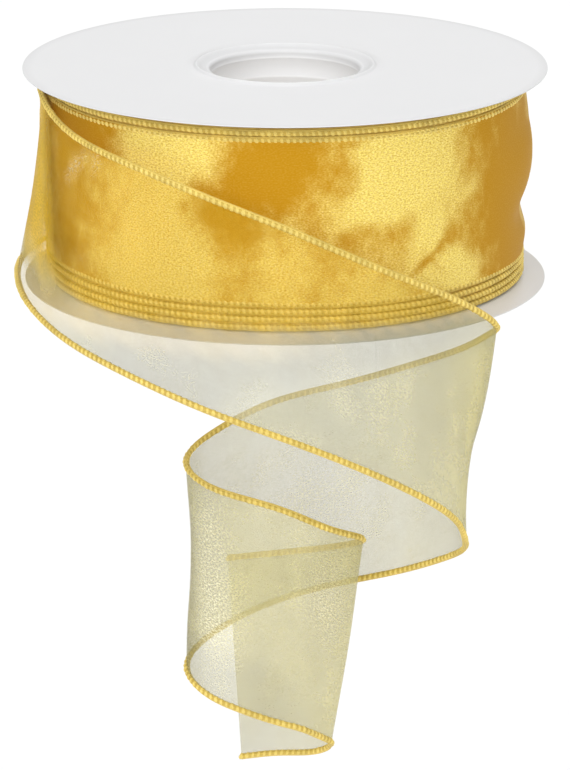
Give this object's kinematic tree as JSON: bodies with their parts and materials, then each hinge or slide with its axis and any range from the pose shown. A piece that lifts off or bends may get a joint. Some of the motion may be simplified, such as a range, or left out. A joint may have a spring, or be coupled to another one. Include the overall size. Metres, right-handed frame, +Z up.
{
  "type": "ribbon spool",
  "caption": "White flanged spool wound with gold sheer wired-edge ribbon, its loose tail wrapped round the front and curling below to a cut end.",
  "frame": {"origin": "centre of the spindle bore in the lower flange's outer face", "axes": "+Z up the bore towards the upper flange, -Y to the front, where the tail crosses the roll; +X to the right, where the tail bends"},
  "size_m": [0.1017, 0.1031, 0.1359],
  "materials": {
    "flange_plastic": "smooth moulded white, satin",
    "core_paper": "wound kraft paper tube, matte",
    "tape": "thin clear adhesive tape",
    "wound_sheer": "many layers of gold sheer, satin sheen with fine sparkle",
    "loose_sheer": "one layer of pale gold see-through sheer with fine sparkle",
    "edge_thread": "close-stitched golden yellow thread over wire",
    "edge_wire": "bright soft wire"
  },
  "bodies": {
    "spool": {"lower_flange": "flange_plastic", "upper_flange": "flange_plastic", "core_tube": "core_paper", "starting_tape": "tape", "wound_ribbon": "wound_sheer", "outer_turn": "wound_sheer", "lower_edge_turn_1": "edge_thread", "lower_edge_turn_2": "edge_thread", "lower_edge_turn_3": "edge_thread", "lower_edge_turn_4": "edge_thread", "upper_edge_turn_1": "edge_thread", "upper_edge_turn_2": "edge_thread"},
    "tail": {"tail_web": "loose_sheer", "tail_upper_binding": "edge_thread", "tail_lower_binding": "edge_thread", "tail_upper_wire": "edge_wire", "tail_lower_wire": "edge_wire"},
    "curl": {"curl_web": "loose_sheer", "curl_upper_binding": "edge_thread", "curl_lower_binding": "edge_thread", "curl_upper_wire": "edge_wire", "curl_lower_wire": "edge_wire"}
  },
  "joints": [
    {"name": "ribbon_payout", "type": "hinge", "parent": "spool", "child": "tail", "pos_m": [0, 0, 0], "axis": [0, 0, -1], "continuous": true},
    {"name": "tail_bend", "type": "hinge", "parent": "tail", "child": "curl", "pos_m": [0.03932, -0.03184, -0.00153], "axis": [0.1167, -0.1313, 0.9845], "range_deg": [-45, 20]}
  ]
}
